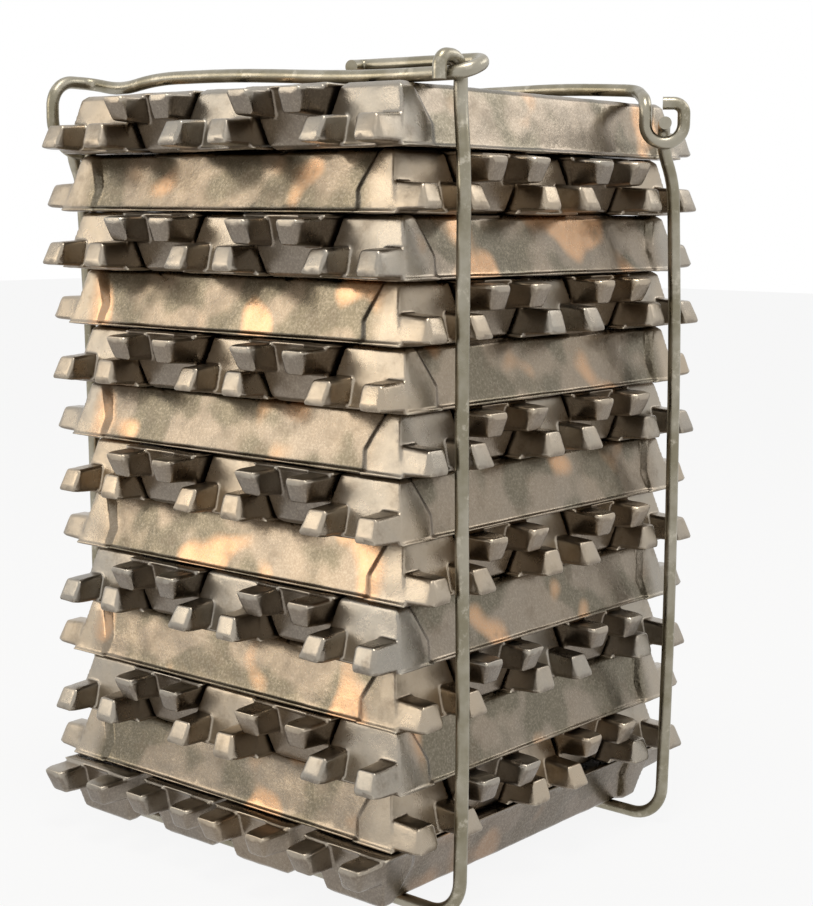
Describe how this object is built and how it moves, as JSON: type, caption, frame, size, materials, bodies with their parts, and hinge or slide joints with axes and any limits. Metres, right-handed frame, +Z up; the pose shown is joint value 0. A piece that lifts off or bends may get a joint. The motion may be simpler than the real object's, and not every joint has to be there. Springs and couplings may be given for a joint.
{
  "type": "aluminum ingot bundle",
  "caption": "Wire-tied bundle of cast aluminum ingots, crossed in layers, each a tapered bar with two lugs at each end.",
  "frame": {"origin": "on the floor, under the middle of the bundle", "axes": "+Z up; the top layer's ingots run along Y and show their ends on the -Y side; the layer below runs along X and shows its ends on the +X side; both wire ties lie in planes parallel to XZ"},
  "size_m": [0.549, 0.5335, 0.8043],
  "materials": {
    "cast_aluminium": "as-cast satin",
    "tie_wire": "drawn wire rod, dull"
  },
  "bodies": {
    "root": {"ingot_layer_01": "cast_aluminium", "ingot_layer_02": "cast_aluminium", "ingot_layer_03": "cast_aluminium", "ingot_layer_04": "cast_aluminium", "ingot_layer_05": "cast_aluminium", "ingot_layer_06": "cast_aluminium", "ingot_layer_07": "cast_aluminium", "ingot_layer_08": "cast_aluminium", "ingot_layer_09": "cast_aluminium", "ingot_layer_10": "cast_aluminium", "ingot_layer_11": "cast_aluminium", "ingot_layer_12": "cast_aluminium", "ingot_layer_13": "cast_aluminium", "front_tie_top": "tie_wire", "front_tie_lower": "tie_wire", "rear_tie_top": "tie_wire", "rear_tie_lower": "tie_wire"}
  },
  "joints": []
}
